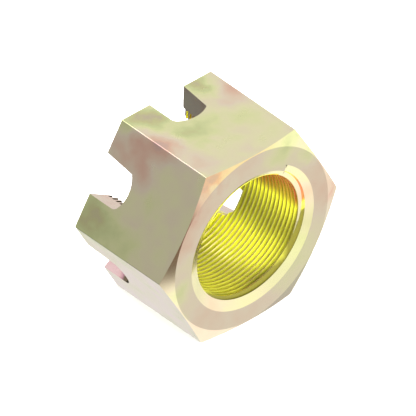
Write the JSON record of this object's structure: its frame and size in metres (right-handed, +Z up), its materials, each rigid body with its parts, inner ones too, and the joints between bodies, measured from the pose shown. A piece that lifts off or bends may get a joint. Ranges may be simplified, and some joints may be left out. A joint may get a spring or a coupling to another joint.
{
  "type": "castle nut",
  "caption": "Slotted hexagon nut with open slots milled into one end for a split pin, a fine-thread bore countersunk at both ends and a chamfered bearing face.",
  "frame": {"origin": "centre of the bearing face, on the thread axis", "axes": "+X along the thread axis, out of the bearing face; +Z up, with the nut lying on one flat; +Y through a corner of the hexagon"},
  "size_m": [0.0358, 0.0668, 0.058],
  "materials": {
    "zinc_plated_steel": "zinc plate with an iridescent yellow passivate"
  },
  "bodies": {
    "root": {"castle_nut": "zinc_plated_steel"}
  },
  "joints": []
}
